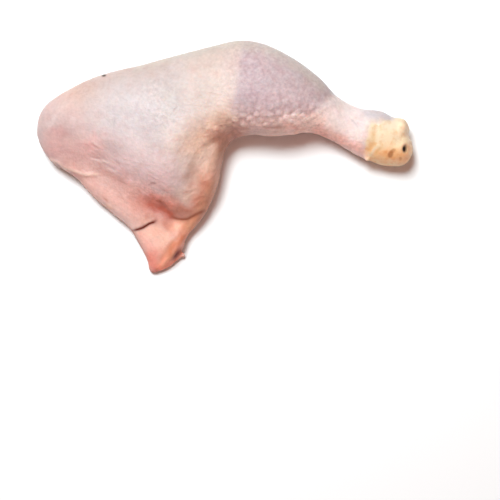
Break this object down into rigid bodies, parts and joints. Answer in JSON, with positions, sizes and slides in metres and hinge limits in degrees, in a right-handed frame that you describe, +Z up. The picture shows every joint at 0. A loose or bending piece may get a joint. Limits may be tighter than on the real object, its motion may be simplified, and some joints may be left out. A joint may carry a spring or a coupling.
{
  "type": "raw chicken leg",
  "caption": "Raw chicken leg quarter with its skin on: a drumstick bent at the knee to a broad domed thigh with loose skin and a short tail flap, lying on its flesh side.",
  "frame": {"origin": "on the table, under the middle of the leg's bounding box", "axes": "+X along the leg towards the hock, +Y towards the outer side of the knee, +Z up"},
  "size_m": [0.268, 0.1646, 0.0435],
  "materials": {
    "skin": "raw chicken skin, pale pink to cream, damp with a soft broken gloss"
  },
  "bodies": {
    "root": {"chicken_leg": "skin"}
  },
  "joints": []
}
